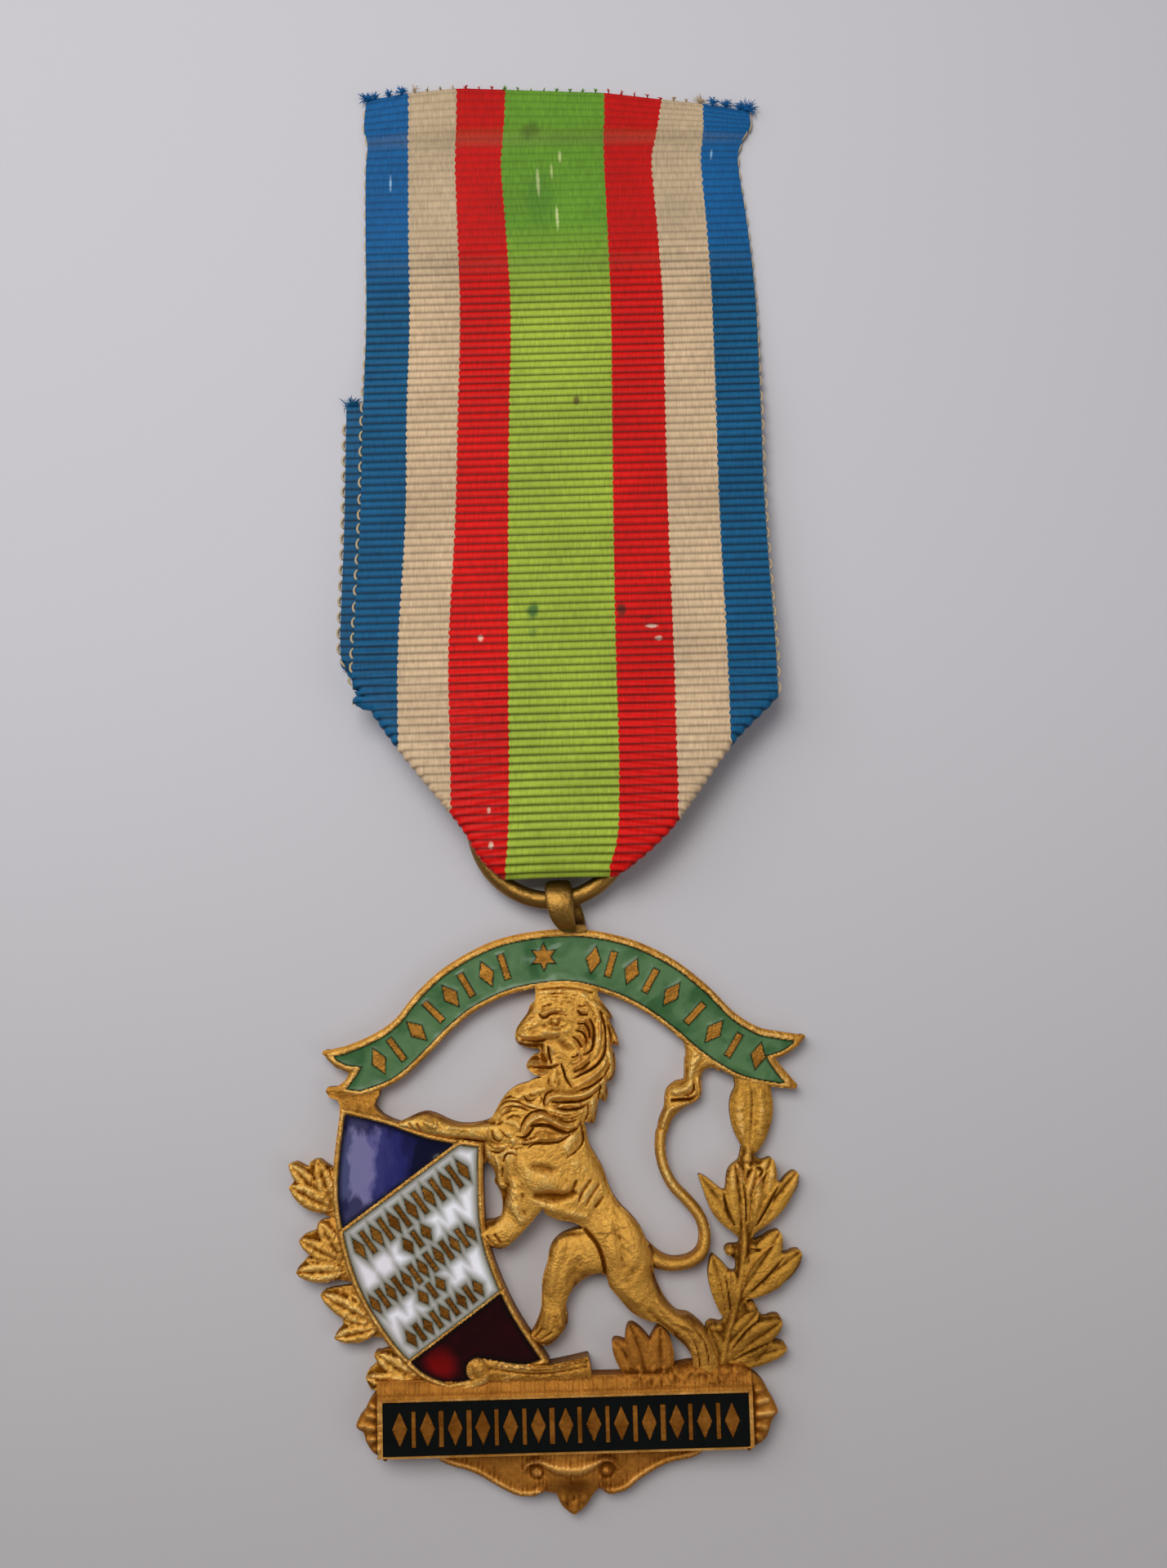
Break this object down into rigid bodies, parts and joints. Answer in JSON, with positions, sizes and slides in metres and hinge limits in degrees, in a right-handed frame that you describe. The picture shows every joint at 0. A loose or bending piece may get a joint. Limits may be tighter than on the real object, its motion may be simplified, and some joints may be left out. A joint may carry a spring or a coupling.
{
  "type": "enamelled membership badge on a ribbon",
  "caption": "Gilt badge with enamel scroll, shield held by a lion, leaf sprays and black plaque, on a suspension ring and folded striped ribbon, lying face up.",
  "frame": {"origin": "centre of the bottom of the bounding box, on the surface that the badge and its ribbon lie on", "axes": "+Z out of the badge's face, away from the surface; +Y from the badge along the ribbon to its top end; +X to the right as seen from the front"},
  "size_m": [0.045, 0.1286, 0.0048],
  "materials": {
    "gilt_metal": "worn gilding over struck bronze, darker in the recesses",
    "green_enamel": "glossy vitreous enamel, slightly streaked",
    "blue_enamel": "glossy vitreous enamel",
    "white_enamel": "glossy vitreous enamel",
    "red_enamel": "glossy translucent enamel",
    "black_enamel": "glossy vitreous enamel",
    "ring_metal": "dull old gilding",
    "ribbon_cloth": "ribbed silk ribbon in stripes of blue, cream, red and green, with picot edges"
  },
  "bodies": {
    "root": {"badge_body": "gilt_metal", "scroll_enamel": "green_enamel", "shield_blue": "blue_enamel", "shield_white": "white_enamel", "shield_red": "red_enamel", "plaque_enamel": "black_enamel", "suspension_ring": "ring_metal", "ribbon": "ribbon_cloth"}
  },
  "joints": []
}
